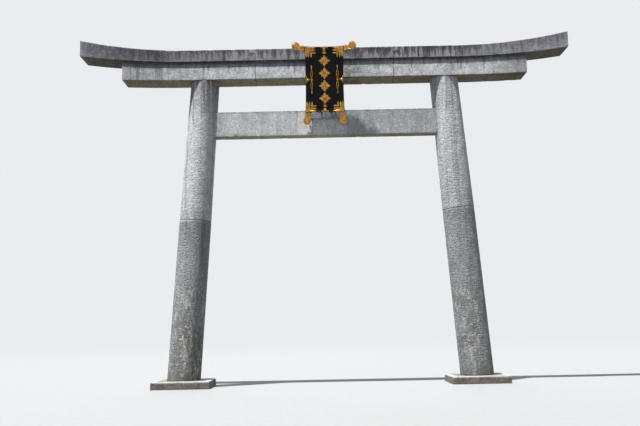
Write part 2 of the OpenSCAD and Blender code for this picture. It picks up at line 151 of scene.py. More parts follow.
# Wear: waves on the faces, and chips out of free edges where two noises pass their levels
FACE_WEAR = 0.0035
FACE_WAVE = 0.22
CHIP_DEPTH = 0.06
CHIP_LENGTH = 0.13
CHIP_LEVEL = 0.15
CHIP_SPACING = 0.9
CHIP_SPACING_LEVEL = -0.25

# Board: its lean, and the sections and fittings of its frame, as built
BOARD_LEAN = radians(11.8)
RAIL_WIDTH = 0.15
RAIL_OUTER_DEPTH = 0.11
RAIL_INNER_DEPTH = 0.06
RAIL_FLARE = atan2(RAIL_OUTER_DEPTH - RAIL_INNER_DEPTH, RAIL_WIDTH)
RAIL_BOW = 0.022
RAIL_STEPS = 32
BEAD_WIDTH = 0.07
BEAD_DEPTH = 0.072
BEAD_INSET = RAIL_WIDTH + BEAD_WIDTH / 2
BEAD_STEPS = 14
BEAD_FULLNESS = 0.35
PANEL_THICKNESS = 0.038
PANEL_BEVEL = 0.003
BATTEN_BEVEL = 0.005
BRACKET_BEVEL = 0.003

# Moulded section of a rail: distance inward from its outer edge, and height above the board's back
RAIL_SECTION = [
    (0, 0), (0, 0.102), (0.002, 0.107), (0.007, 0.11), (0.013, 0.109),
    (0.018, 0.104), (0.021, 0.1005), (0.118, 0.0685), (0.122, 0.0705), (0.129, 0.0715),
    (0.137, 0.069), (0.142, 0.064), (0.15, 0.0595), (0.15, 0)
]

# Gilt sheets, their eased edges, how deep they are let into the wood, and the reach of the tarnish and
# painted shade in their hollows
GILT = 0.006
GILT_ROOT = 0.005
GILT_HOLLOW = 0.05
GILT_BEVEL = 0.002
PIERCED_BEVEL = 0.0015

# Corner fittings: where their leaves start and end, the room beside them, and their first nail
CORNER_ROOT = 0.175
CORNER_REACH = 0.315
CORNER_LEAVES = 2
CORNER_MARGIN = 0.014
MOULDING_MARGIN = 0.007
CORNER_NAIL = (0.168, 0.03272)
RAIL_LEAF_RISE = 0.017
MOULDING_LEAF_RISE = 0.009

# Leaves: how much of their room they fill, and how their height is shared by a round and a midrib
LEAF_FILL = 0.72
RELIEF_FILL = 0.96
LEAF_STEPS = 12
LEAF_STRIPS = 6
LEAF_FADE = 6
LEAF_ROUND = 0.62
LEAF_MIDRIB = 0.38
MIDRIB_STEEPNESS = 3.2

# Bosses and nail heads: radius and rise
TURNED_SEGMENTS = 20
FINE_SEGMENTS = 28
DOME_STEPS = 5
NAIL = (0.008, 0.007)
CORNER_BOSS = (0.014, 0.01)
MIDDLE_NAILS = [(-0.03, 0.007), (0, 0.011), (0.03, 0.007)]
MIDDLE_NAIL_RISE = 0.008
MIDDLE_BOSS = 1.08 * 0.038
PIERCED_BOSS = 0.9 * 0.028
PIERCED_NAIL = 0.345
STEPPED_BOSS = [
    (1, -0.15), (1, 0.12), (0.84, 0.24), (0.72, 0.18), (0.6, 0.42), (0.4, 0.6), (0.18, 0.68),
    (0, 0.7)
]

# Flowers on the panel: turn, length, width and rise of their petals
FLOWER_COUNT = 4
FLOWER_DIAMETER = 0.33
PETALS = [
    (0, FLOWER_DIAMETER / 2, FLOWER_DIAMETER / 3.6, 0.022),
    (pi / 4, 0.4 * FLOWER_DIAMETER, FLOWER_DIAMETER / 6.5, 0.014)
]
PETAL_SEAT = 0.005
HEART_SEAT = 0.008
HEART = 0.034

# Curled ends, in radii of the knob from the corner of the frame: the knob's middle, where its scroll
# starts, the ends of a short rib, and eyes beside the frame; the scroll meets the knob at an angle
CURLS = {
    "top": {
        "radius": 0.108, "knob": (2.15, 0.05), "scroll": (-0.1, -1.02), "angle": radians(-95),
        "rib": ((0.8, -0.22), (1.4, 0.36)), "eyes": [(0.45, -0.2)]
    },
    "bottom": {
        "radius": 0.104, "knob": (-0.375, -2.12), "scroll": (-1.32, 0.15), "angle": radians(180),
        "rib": ((-0.24, 0.1), (0.3, -1.62)), "eyes": []
    }
}
CURL_DEPTH = 0.068
CURL_SETBACK = 0.006
CURL_MIDDLE = RAIL_OUTER_DEPTH - CURL_SETBACK - CURL_DEPTH / 2
CURL_THINNING = 0.26
CURL_BEVEL = 0.014

# Ribs of the curled ends, in radii of the knob; narrowing and sinking are towards their ends
RIB_SEGMENTS = 12
RIB_FULLNESS = 0.7
SHORT_RIB_STEPS = 10
SHORT_RIB_WIDTH = 0.11
SHORT_RIB_NARROWING = 0.7
SHORT_RIB_DEPTH = 0.98
SHORT_RIB_SINKING = 0.12
SCROLL_OUTER = 0.86
SCROLL_INNER = 0.3
SCROLL_TURNS = 1.6
SCROLL_WIDTH = 0.13
SCROLL_NARROWING = 0.05
SCROLL_SINKING = 0.1
NECK_STEPS = 10
NECK_PULLS = (0.35, 0.5)
WIND_STEPS = 44
KNOB_EYE = 0.2
FRAME_EYE = 0.3
EYE_SEAT = 0.36
EYE_RISE = 0.13

# Nuts on a bracket's plate: profile, seat below the plate's face, and place as a share of half the plate
NUT = [(0.013, -0.004), (0.013, 0.01), (0.008, 0.012), (0, 0.013)]
NUT_SIDES = 6
NUT_SEAT = 0.01
NUT_SHARE = 0.62

# Sockets of the Mix node for colours
MIX_A = 6
MIX_B = 7
MIX_RESULT = 2


class Value:
    """The result of a node. Arithmetic on it adds Math nodes."""

    def __init__(self, socket):
        self.socket = socket
        self.tree = socket.id_data

    def calc(self, operation, *others):
        return add_node(self.tree, "Math", dict(enumerate((self, *others))), operation=operation)

    def __add__(self, other):
        return self.calc("ADD", other)

    def __sub__(self, other):
        return self.calc("SUBTRACT", other)

    def __rsub__(self, other):
        return self * -1 + other

    def __mul__(self, other):
        return self.calc("MULTIPLY", other)

    def __abs__(self):
        return self.calc("ABSOLUTE")


def feed(socket, value):
    """Links a result to a socket, or sets the socket's own value."""
    if isinstance(value, Value):
        value.tree.links.new(value.socket, socket)
    elif socket.type == "RGBA":
        socket.default_value = (*value, 1)
    else:
        socket.default_value = value


def add_node(tree, kind, inputs, output=0, **settings):
    """Adds a node, sets it up, feeds its inputs and gives one of its results."""
    made = tree.nodes.new("ShaderNode" + kind)
    for name, setting in settings.items():
        setattr(made, name, setting)
    for name, value in inputs.items():
        feed(made.inputs[name], value)
    return Value(made.outputs[output])


def spread(value, low, high, to_low=0, to_high=1):
    """Carries a value smoothly from one range to another, held at the ends."""
    inputs = {"Value": value, "From Min": low, "From Max": high, "To Min": to_low, "To Max": to_high}
    return add_node(value.tree, "MapRange", inputs, "Result", interpolation_type="SMOOTHSTEP")


def stretched(place, factors):
    return add_node(place.tree, "VectorMath", {0: place, 1: factors}, operation="MULTIPLY")


def shifted(place, offset):
    return add_node(place.tree, "VectorMath", {0: place, 1: offset}, operation="ADD")


def cloud(place, scale, detail=4, roughness=0.6):
    """Noise from 0 to 1 with blotches of about 1 / scale metres."""
    inputs = {"Vector": place, "Scale": scale, "Detail": detail, "Roughness": roughness}
    return add_node(place.tree, "TexNoise", inputs, "Fac")


def cells(place, scale, output="Distance"):
    """Distance from the middle of scattered cells, or a colour for each."""
    return add_node(place.tree, "TexVoronoi", {"Vector": place, "Scale": scale}, output)


def blend(factor, first, second, mode="MIX"):
    inputs = {0: factor, MIX_A: first, MIX_B: second}
    return add_node(factor.tree, "Mix", inputs, MIX_RESULT, data_type="RGBA", blend_type=mode)


def shaded(colour, factor):
    """A colour multiplied by a grey value."""
    return add_node(factor.tree, "VectorMath", {0: colour, "Scale": factor}, operation="SCALE")


def tones(value, low, high, stops):
    """Grey value along a stretch, from stops of (place, tone)."""
    reach = high - low
    tone = add_node(value.tree, "ValToRGB", {"Fac": (value - low).calc("DIVIDE", reach)})
    ramp = tone.socket.node.color_ramp
    ramp.interpolation = "EASE"
    while len(ramp.elements) < len(stops):
        ramp.elements.new(1)
    for element, (place, grey) in zip(ramp.elements, stops):
        element.position = (place - low) / reach
        element.color = (grey, grey, grey, 1)
    return tone


def tones_across(x, stops):
    return tones(x, cad_low.x, cad_high.x, stops)


def parts(vector):
    """The three numbers of a place, direction or colour."""
    split = add_node(vector.tree, "SeparateXYZ", {0: vector}).socket.node
    return [Value(output) for output in split.outputs]


def facing_up(place):
    """The upward part of the surface's direction, from -1 to 1."""
    return parts(add_node(place.tree, "NewGeometry", {}, "Normal"))[2]


def openness(place, reach):
    """1 on open surfaces, falling towards 0 in hollows narrower than the reach."""
    return add_node(place.tree, "AmbientOcclusion", {"Distance": reach}, "AO")


def painted(place, name):
    """A value that was written on the mesh's points."""
    return add_node(place.tree, "Attribute", {}, "Fac", attribute_name=name)


def bump(shader, height, strength, distance):
    inputs = {"Strength": strength, "Distance": distance, "Height": height}
    feed(shader["Normal"], add_node(height.tree, "Bump", inputs))


def new_material(name, paint, roughness=0.8, specular=0.3, metallic=0):
    """A material that is painted by a function of its shader's inputs and the place on the object."""
    material = bpy.data.materials.new(name)
    material.use_nodes = True
    tree = material.node_tree
    shader = tree.nodes["Principled BSDF"].inputs
    shader["Roughness"].default_value = roughness
    shader["Specular IOR Level"].default_value = specular
    shader["Metallic"].default_value = metallic
    paint(shader, add_node(tree, "TexCoord", {}, "Object"))
    return material


def granite_grain(place):
    """Grey value of the stone's crystals and mottling, about 1 on average."""
    crystal = parts(cells(place, 115, "Color"))[0]
    mica = spread(crystal, 0.1, 0.22, 0.55, 1)
    feldspar = spread(crystal, 0.74, 0.9, 1, 1.32)
    fine = spread(cloud(place, 30, 4, 0.7), 0.32, 0.68, 0.76, 1.24)
    mottle = spread(cloud(place, 9, 6, 0.7), 0.3, 0.7, 0.84, 1.16)
    patch = spread(cloud(place, 2.3, 4, 0.6), 0.3, 0.7, 0.88, 1.12)
    return mica * feldspar * fine * mottle * patch


def drawn_out(place, width, change):
    """Squeezes a pattern to a width, and sets how quickly it changes with height."""
    return stretched(place, (1 / width, 1 / width, change))


def runs(place, width, length, low, high):
    """Upright streaks that water leaves, from 0 to 1."""
    return spread(cloud(drawn_out(place, width, 1 / length), 1, 3, 0.55), low, high)


def drips(place, width, hang, low, high):
    """Streaks that start where hang is 1 and end unevenly as it falls to 0."""
    pattern = cloud(drawn_out(place, width, DRIP_CHANGE), 1, 2.5, 0.5)
    return spread(pattern + (hang - 0.5) * 0.24, low, high)


def streaks(place, width, hang, low, high):
    """Upright streaks of even width, which start where hang is 1 and each have their own length."""
    drawn = drawn_out(place, width, DRIP_CHANGE)
    streak = spread(cloud(drawn, 1, 3, 0.6) + (hang - 0.5) * 0.08, low, high)
    own_length = cloud(shifted(drawn, ELSEWHERE), 0.7, 2, 0.5)
    return streak * spread(hang + (own_length - 0.5) * 2.6, 0.2, 0.62)


def mixed_streaks(place, broad, narrow, hang):
    """Streaks of two widths."""
    return streaks(place, broad, hang, 0.47, 0.58).calc("MAXIMUM", streaks(place, narrow, hang, 0.48, 0.6))


def lichen_spots(place, scale, size):
    """Crusts of lichen with ragged edges, from 0 to 1."""
    ragged = (cloud(place, 42, 6, 0.8) - 0.5) * 1.9
    spot = spread(cells(place, scale) + ragged, size, size + 0.1, 1, 0)
    chance = parts(cells(place, scale, "Color"))[1]
    return spot * spread(chance, 0.5, 0.6)


def stained(colour, *stains):
    """Lays stains over a colour, one after another. Each is a mask, a strength and a tint."""
    for mask, strength, tint in stains:
        colour = blend(mask * strength, colour, tint)
    return colour


def finish_stone(shader, place, colour, underside_shade=UNDERSIDE_SHADE, dressing=FINE_DRESSING, dust=0.7):
    """Painted shade and warm bounce light on undersides, dusty tops, paler edges from wear and a painted
    highlight, roughness and the dressed surface's relief.
    """
    up = facing_up(place)
    # Painted shade and warm bounce light: faces that look down take a darker, warmer tint.
    colour = blend(spread(up, -0.85, -0.45, 1, 0), colour, underside_shade, "MULTIPLY")
    crust = spread(cloud(place, 4.5, 6, 0.7), 0.4, 0.6)
    weathered = blend(crust, (0.135, 0.135, 0.115), (0.34, 0.34, 0.31))
    # Paler edges, partly wear and partly a painted highlight along the rounded free edges.
    worn_and_highlit_edges = painted(place, "edge") * spread(cloud(place, 6), 0.35, 0.65)
    colour = stained(
        colour,
        (spread(up, 0.55, 0.95), dust, weathered),
        (worn_and_highlit_edges, 0.3, (0.62, 0.62, 0.6))
    )
    feed(shader["Base Color"], colour)
    depth, lumps, flatness, roughness = dressing
    coarse = cloud(stretched(place, (1, 1, flatness)), lumps, 7, roughness)
    bump(shader, cloud(place, 120, 5, 0.7) * 0.3 + coarse, 0.8, depth)
    feed(shader["Roughness"], spread(coarse, 0.2, 0.8, 0.72, 0.95))


def paint_cap(shader, place):
    """Dark purple-grey granite of the cap: black drips from its top, pale ones above its lower edge."""
    x = parts(place)[0]
    share = painted(place, "share")
    body = tones_across(x, CAP_TONES)
    streaky = tones_across(x, CAP_STREAKINESS)
    grain = granite_grain(place)
    pale = mixed_streaks(place, 0.15, 0.05, 1 - share)
    dark = mixed_streaks(shifted(place, (7.3, 0, 0)), 0.13, 0.045, share)
    lip = spread(share, 0.12, 0.02) * spread(cloud(place, 7), 0.45, 0.6)
    top_grime = spread(share, 0.72, 1) * spread(cloud(place, 3), 0.35, 0.6)
    colour = stained(
        shaded((1.01, 0.955, 1.1), body * grain),
        (pale * streaky, 0.72, shaded((0.47, 0.465, 0.475), grain)),
        (dark * streaky, 0.78, (0.045, 0.04, 0.054)),
        (lip, 0.5, (0.4, 0.41, 0.37)),
        (top_grime, 0.45, (0.06, 0.055, 0.065)),
        (lichen_spots(place, 8, 0.2), 0.45, (0.42, 0.44, 0.38))
    )
    finish_stone(shader, place, colour, CAP_UNDERSIDE_SHADE)


def paint_lintel(shader, place):
    """Pale mottled granite of the lintel, with dark drips under the cap and a few damp stains; a painted
    shadow and shade under the cap, and painted shade on its underside.
    """
    x = parts(place)[0]
    share = painted(place, "share")
    body = tones_across(x, LINTEL_TONES)
    flecks = spread(cloud(shifted(place, (0, 4, 0)), 5, 6, 0.7), 0.36, 0.64, 0.8, 1.18)
    left_runs = runs(place, 0.09, 1.8, 0.5, 0.6) * spread(x, -3.6, -4.8)
    damp = spread(cloud(shifted(place, (3.1, 0, 5)), 1.7, 5, 0.7), 0.56, 0.68)
    beside_board = spread(x, 1.15, 0.75) * spread(x, 0.45, 0.6) * spread(cloud(place, 5), 0.42, 0.6)
    # Painted shadow: a bluish band over the upper part of the lintel where the cap's shadow falls,
    # stronger towards the left end.
    painted_cap_shadow = spread(share + (cloud(place, 2.2) - 0.5) * 0.22, 0.6, 0.7)
    # Painted shade with grime: a nearly black strip along the lintel's top, right under the cap's
    # overhang.
    cap_shade_and_grime = spread(share, 0.76, 0.95)
    colour = stained(
        shaded((0.985, 1, 1), body * flecks * granite_grain(place)),
        (drips(place, 0.11, share, 0.56, 0.66), 0.55, (0.13, 0.13, 0.14)),
        (drips(place, 0.04, share, 0.64, 0.74), 0.45, (0.12, 0.12, 0.12)),
        (left_runs, 0.62, (0.15, 0.155, 0.15)),
        (damp, 0.4, (0.2, 0.2, 0.17)),
        (beside_board, 0.75, (0.13, 0.15, 0.12)),
        (painted_cap_shadow, spread(x, -3, 0.5, 0.66, 0.42), (0.13, 0.15, 0.19)),
        (cap_shade_and_grime, 0.8, (0.045, 0.047, 0.05))
    )
    # Painted shade on the lintel's underside, deeper towards the right end.
    underside_shade = blend(spread(x, 0.5, 3.2), LINTEL_UNDERSIDE_SHADE, RIGHT_END_UNDERSIDE_SHADE)
    finish_stone(shader, place, colour, underside_shade)


def paint_beam(shader, place):
    """Even pale granite of the tie beam, with a painted shadow under the board and lime run-off beside it.
    """
    x, y = parts(place)[:2]
    share = painted(place, "share")
    body = tones_across(x, BEAM_TONES)
    wander = (cloud(place, 5, 6, 0.7) - 0.5) * 0.22
    # Painted shadow: a bluish patch on the upper middle of the beam's front, where the board's shadow
    # falls.
    board_shadow = spread(abs(x + wander * 0.6), 0.48, 0.4) * spread(share + wander * 0.8, 0.58, 0.69)
    colour = stained(
        shaded((0.985, 1.01, 1.02), body * granite_grain(place)),
        (runs(place, 0.08, 2.6, 0.52, 0.66), 0.26, (0.22, 0.225, 0.23)),
        (board_shadow * spread(y, 0.05, 0), 0.72, (0.17, 0.2, 0.235))
    )
    across = x + wander + spread(y, 0, 0.05, 0, LIME_SHIFT_BEHIND)
    broken = spread(cloud(stretched(place, (16, 16, 5)), 1, 5, 0.7), 0.34, 0.6)
    for middle, half_width, top, strength in LIME_RUNS:
        band = spread(abs(across - middle), half_width * 0.3, half_width * 1.1, 1, 0)
        mask = band * broken * spread(share, top, top - 0.25)
        colour = stained(colour, (mask, strength, LIME))
    finish_stone(shader, place, colour)


def paint_pillar(shader, place):
    """Rough grey pillars: pale above their joints, darker and olive below, with lichen low down."""
    x, _, z = parts(place)
    left_body = tones(z, 0, cad_high.z, LEFT_PILLAR_TONES)
    right_body = tones(z, 0, cad_high.z, RIGHT_PILLAR_TONES)
    body = blend(spread(x, -0.5, 0.5), left_body, right_body)
    low_down = spread(z, 3.8, 2.6)
    crumbs = spread(cloud(place, 48, 4, 0.75), 0.36, 0.58)
    crust = cloud(stretched(place, (6, 6, 2.6)), 1, 8, 0.8)
    olive = spread(z, 3.4, 1.4) * spread(cloud(place, 1.6, 4), 0.35, 0.65)
    brown = spread(cloud(shifted(place, (0, 7, 2)), 1.3, 6, 0.72), 0.48, 0.62)
    dark = drips(place, 0.05, spread(z, 5.9, 8.4), 0.58, 0.67)
    bands = runs(shifted(place, (2, 5, 0)), 0.16, 4.5, 0.5, 0.66)
    pale = runs(shifted(place, (5, 2, 0)), 0.1, 3.6, 0.56, 0.68)
    lime = runs(place, 0.075, 0.3, 0.57, 0.66) * low_down * crumbs
    smears = spread(crust, 0.535, 0.6) * spread(z, 3.6, 2.2, 0.1, 1) * crumbs
    lichen = lichen_spots(place, 9.5, 0.15) * spread(z, 3.2, 1.6, 0.06, 1)
    pits = spread(cloud(shifted(place, (9, 1, 4)), 11, 6, 0.78), 0.57, 0.64) * low_down
    colour = stained(
        shaded((0.985, 1, 1.01), body * granite_grain(place)),
        (olive, 0.5, (0.22, 0.212, 0.16)),
        (brown * spread(z, 3.9, 2.8), 0.45, (0.155, 0.135, 0.1)),
        (dark, spread(x, -0.5, 0.5, 0.62, 0.45), (0.11, 0.11, 0.12)),
        (bands, 0.36, (0.14, 0.14, 0.145)),
        (pale, spread(z, 3.8, 5, 0.1, 0.45), (0.8, 0.8, 0.81)),
        (lime, 0.6, (0.55, 0.55, 0.55)),
        (smears, 0.9, (0.68, 0.685, 0.67)),
        (lichen, 0.8, (0.72, 0.73, 0.7)),
        (pits, 0.62, (0.085, 0.085, 0.07)),
        (spread(z, 0.55, 0.2), 0.5, (0.13, 0.11, 0.09))
    )
    finish_stone(shader, place, colour, dressing=COARSE_DRESSING)


def paint_plinth(shader, place):
    """Brown-grey slabs with soil on their sides, and on top a bright rim round a mossy middle."""
    x, y, z = parts(place)
    slab_low, slab_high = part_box("plinth_right")
    slab_middle = (slab_low.x + slab_high.x) / 2
    blotch = spread(cloud(place, 5, 5, 0.7), 0.42, 0.66)
    pale = spread(cloud(shifted(place, (4, 0, 0)), 9, 6, 0.75), 0.55, 0.66)
    outward = abs(abs(x) - slab_middle).calc("MAXIMUM", abs(y))
    rim = spread(outward + (cloud(place, 6, 5, 0.7) - 0.5) * 0.3, 0.58, 0.7)
    trodden = blend(rim, (0.16, 0.17, 0.115), (0.5, 0.495, 0.52))
    colour = stained(
        shaded((0.25, 0.22, 0.195), granite_grain(place)),
        (blotch, 0.65, (0.085, 0.078, 0.072)),
        (pale, 0.5, (0.42, 0.41, 0.4)),
        (spread(z, 0.1, 0), 0.55, (0.3, 0.21, 0.125)),
        (spread(facing_up(place), 0.5, 0.9), 0.85, trodden)
    )
    finish_stone(shader, place, colour, dust=0.15)


def paint_seam(shader, place):
    """Grime in the fine joints between stones."""
    tone = spread(cloud(place, 9, 5), 0.35, 0.65, 0.6, 2.2)
    feed(shader["Base Color"], shaded((0.085, 0.08, 0.07), tone))
    bump(shader, cloud(place, 60, 4), 0.5, 0.006)


def paint_lacquer(shader, place):
    """Black lacquer over wood: satin, with dust, and a brown undercoat on the worn edges."""
    dust = spread(cloud(place, 9, 6, 0.7), 0.4, 0.75)
    lying = spread(facing_up(place), 0, 0.8)
    rub = painted(place, "edge") * spread(cloud(place, 22, 5), 0.5, 0.7)
    black = blend(dust * (lying * 0.5 + 0.12), (0.0045, 0.005, 0.007), (0.05, 0.048, 0.045))
    feed(shader["Base Color"], stained(black, (rub, 0.7, (0.05, 0.02, 0.01))))
    feed(shader["Roughness"], spread(dust, 0, 1, 0.26, 0.5))
    bump(shader, cloud(stretched(place, (55, 55, 3)), 1, 3), 0.1, 0.003)


def paint_gilt(shader, place):
    """Gilded metal: satin gold, tarnished to ochre in places and dark in its hollows from tarnish and
    painted shade, punched with small rings.
    """
    tarnish = spread(cloud(place, 13, 6, 0.7), 0.34, 0.64)
    brown = spread(cloud(place, 47, 5, 0.7), 0.58, 0.72)
    # Tarnish and painted shade: the gilt darkens nearly to brown-black in hollows narrower than the reach.
    hollow_tarnish_and_shade = spread(openness(place, GILT_HOLLOW), 0.9, 0.35)
    colour = stained(
        blend(tarnish, (0.66, 0.38, 0.11), (0.33, 0.165, 0.038)),
        (brown, 0.6, (0.12, 0.06, 0.022)),
        (hollow_tarnish_and_shade, 0.9, (0.06, 0.028, 0.01))
    )
    feed(shader["Base Color"], colour)
    feed(shader["Roughness"], spread(tarnish, 0, 1, 0.34, 0.5))
    rings = (cells(place, 110) * 14).calc("SINE")
    bump(shader, rings * 0.25 + cloud(place, 35, 4), 0.35, 0.004)


def paint_iron(shader, place):
    """Forged iron, dark and a little rusty."""
    rust = spread(cloud(place, 24, 6, 0.7), 0.42, 0.66)
    feed(shader["Base Color"], blend(rust, (0.03, 0.028, 0.027), (0.11, 0.045, 0.018)))
    feed(shader["Roughness"], spread(rust, 0, 1, 0.5, 0.9))
    bump(shader, cloud(place, 90, 5), 0.4, 0.004)


materials = {
    "cap_stone": new_material("cap_granite", paint_cap),
    "lintel_stone": new_material("lintel_granite", paint_lintel),
    "beam_stone": new_material("beam_granite", paint_beam),
    "pillar_stone": new_material("pillar_granite", paint_pillar),
    "plinth_stone": new_material("plinth_granite", paint_plinth),
    "black_lacquer": new_material("black_lacquer", paint_lacquer, 0.35, 0.14),
    "gilt": new_material("gilded_metal", paint_gilt, 0.32, 0.5, 1),
    "bracket_iron": new_material("forged_iron", paint_iron, 0.6, 0.4),
}
seam = new_material("joint_grime", paint_seam, 0.95, 0.1)


def add_object(name, data):
    made = bpy.data.objects.new(name, data)
    bpy.context.scene.collection.objects.link(made)
    return made


def add_piece(name, bm, slot, node):
    """Makes a piece from a bmesh, in the finish of a material slot, in place of a node."""
    mesh = bpy.data.meshes.new(name)
    bm.to_mesh(mesh)
    bm.free()
    mesh.materials.append(materials[slot])
    mesh.shade_smooth()
    mesh.set_sharp_from_angle(angle=SMOOTH_ANGLE)
    piece = add_object(name, mesh)
    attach(piece, "root")
    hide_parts(node)
    return piece


def weigh_normals(piece):
    """Lets the large faces lead the shading, so that they stay flat beside rounded edges."""
    modifier = piece.modifiers.new("even_shading", "WEIGHTED_NORMAL")
    modifier.keep_sharp = True


def node_points(node):
    return [vert.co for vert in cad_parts[node].data.vertices]


def clean_copy(node):
    """The node's mesh with welded points and whole flat faces."""
    bm = bmesh.new()
    bm.from_mesh(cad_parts[node].data)
    bmesh.ops.remove_doubles(bm, verts=bm.verts, dist=WELD)
    bmesh.ops.dissolve_limit(bm, angle_limit=FLAT_ANGLE, verts=bm.verts, edges=bm.edges)
    bm.faces.layers.int.new("rounded")
    return bm


def sharp_edges(bm):
    inner = [edge for edge in bm.edges if len(edge.link_faces) == 2]
    return [edge for edge in inner if edge.calc_face_angle() > SHARP_ANGLE]


def bevel(bm, edges, width, segments=2, kind=WORN_EDGE):
    """Rounds edges, and marks the rounded faces with a kind."""
    rounded = bm.faces.layers.int["rounded"]
    made = bmesh.ops.bevel(
        bm, geom=edges, offset=width, segments=segments, profile=ROUND, affect="EDGES", clamp_overlap=True
    )
    for face in made["faces"]:
        face[rounded] = kind


def plane(axis, place):
    """The plane across an axis at a place on it: a point and a direction."""
    normal = Vector((axis == X, axis == Y, axis == Z))
    return normal * place, normal


def cut_across(bm, axis, step):
    """Cuts the mesh into strips along one axis."""
    places = [vert.co[axis] for vert in bm.verts]
    low, high = min(places), max(places)
    count = int((high - low) / step)
    for index in range(1, count):
        point, normal = plane(axis, low + index * (high - low) / count)
        geometry = bm.verts[:] + bm.edges[:] + bm.faces[:]
        bmesh.ops.bisect_plane(bm, geom=geometry, dist=WELD, plane_co=point, plane_no=normal)


def distance_to(contacts, point):
    """Distance to the nearest face that another stone touches."""
    return min((abs((point - base).dot(normal)) for base, normal in contacts), default=inf)


def lies_in(contacts, edge):
    """Whether both ends of an edge lie in one face that another stone touches."""
    return any(
        all(distance_to([contact], vert.co) < CONTACT_REACH for vert in edge.verts)
        for contact in contacts
    )


def wear_down(bm, contacts):
    """Sinks the faces a little, unevenly, and breaks small chips out of the free edges."""
    rounded = bm.faces.layers.int["rounded"]
    bm.normal_update()
    moves = []
    for vert in bm.verts:
        away = distance_to(contacts, vert.co)
        if away < CONTACT_REACH:
            continue
        depth = FACE_WEAR * (0.5 + 0.5 * noise.noise(vert.co / FACE_WAVE))
        if away > EDGE_BEVEL and any(face[rounded] == WORN_EDGE for face in vert.link_faces):
            broken = max(0, noise.noise(vert.co / CHIP_LENGTH) - CHIP_LEVEL)
            rare = max(0, noise.noise(vert.co / CHIP_SPACING) - CHIP_SPACING_LEVEL)
            depth += CHIP_DEPTH * broken * rare
        moves.append((vert, vert.normal * depth))
    for vert, move in moves:
        vert.co -= move


def write_points(mesh, name, values):
    mesh.attributes.new(name, "FLOAT", "POINT").data.foreach_set("value", values)


def write_edge(mesh, edge_points):
    """Marks the points on worn edges."""
    write_points(mesh, "edge", [float(index in edge_points) for index in range(len(mesh.vertices))])


def write_share(mesh):
    """Writes each point's share of the stone's height in its upright slice."""
    slices = {}
    for vert in mesh.vertices:
        slices.setdefault(round(vert.co.x / CUT), []).append(vert.co.z)
    spans = {column: (min(levels), max(levels)) for column, levels in slices.items()}
    shares_up = []
    for vert in mesh.vertices:
        low, high = spans[round(vert.co.x / CUT)]
        shares_up.append((vert.co.z - low) / max(high - low, WELD))
    write_points(mesh, "share", shares_up)


def dress_stone(node, slot, contacts, axes=(X, Y, Z)):
    """Stands a weathered stone in the place of a node."""
    bm = clean_copy(node)
    rounded = bm.faces.layers.int["rounded"]
    free = [edge for edge in sharp_edges(bm) if not lies_in(contacts, edge)]
    bevel(bm, free, EDGE_BEVEL)
    joints = [edge for edge in sharp_edges(bm) if lies_in(contacts, edge)]
    bevel(bm, joints, JOINT_BEVEL, 1, JOINT_EDGE)
    for axis in axes:
        cut_across(bm, axis, CUT)
    wear_down(bm, contacts)
    bm.verts.index_update()
    edge_points = set()
    for face in bm.faces:
        face.material_index = 1 if face[rounded] == JOINT_EDGE else 0
        if face[rounded] == WORN_EDGE:
            edge_points.update(vert.index for vert in face.verts)
    piece = add_piece("stone_" + node, bm, slot, node)
    piece.data.materials.append(seam)
    write_share(piece.data)
    write_edge(piece.data, edge_points)
    weigh_normals(piece)


def ring_centre(node, pick):
    """Middle of the ring of points at the node's foot or head, as min or max picks it."""
    points = node_points(node)
    height = pick(p.z for p in points)
    ring = [p.x for p in points if abs(p.z - height) < CONTACT_REACH]
    return Vector(((min(ring) + max(ring)) / 2, 0, height))


def pillar_joint(side):
    """The slanting plane in which a pillar's two stones meet."""
    foot = ring_centre(f"pillar_{side}_lower", min)
    head = ring_centre(f"pillar_{side}_upper", max)
    axis = (head - foot).normalized()
    reach = max((point - foot).dot(axis) for point in node_points(f"pillar_{side}_lower"))
    return foot + axis * reach, axis


def dress_all_stones():
    """Dresses every stone, told in which planes it touches others."""
    lintel_low, lintel_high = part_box("lintel_centre")
    cap_low, cap_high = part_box("cap_centre")
    tie_low, tie_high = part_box("tie_beam")
    slab_top = plane(Z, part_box("plinth_left")[1].z)
    head = plane(Z, lintel_low.z)
    pocket = [plane(Y, tie_low.y), plane(Y, tie_high.y), plane(Z, tie_low.z), plane(Z, tie_high.z)]
    lintel_joints = [plane(X, -lintel_high.x), plane(X, lintel_high.x)]
    cap_joints = [plane(X, -cap_high.x), plane(X, cap_high.x), plane(Z, cap_low.z + CAP_LAP_HEIGHT)]
    cap_joints += lintel_joints
    for side in ("left", "right"):
        joint = pillar_joint(side)
        dress_stone(f"plinth_{side}", "plinth_stone", [plane(Z, 0)])
        dress_stone(f"pillar_{side}_lower", "pillar_stone", [slab_top, joint], [Z])
        dress_stone(f"pillar_{side}_upper", "pillar_stone", [head, joint] + pocket, [Z])
        dress_stone(f"lintel_{side}", "lintel_stone", lintel_joints)
        dress_stone(f"cap_{side}", "cap_stone", cap_joints)
    dress_stone("lintel_centre", "lintel_stone", lintel_joints)
    dress_stone("cap_centre", "cap_stone", cap_joints)
    dress_stone("tie_beam", "beam_stone", [])
    dress_stone("centre_strut", "beam_stone", [plane(Z, tie_high.z), head])


dress_all_stones()

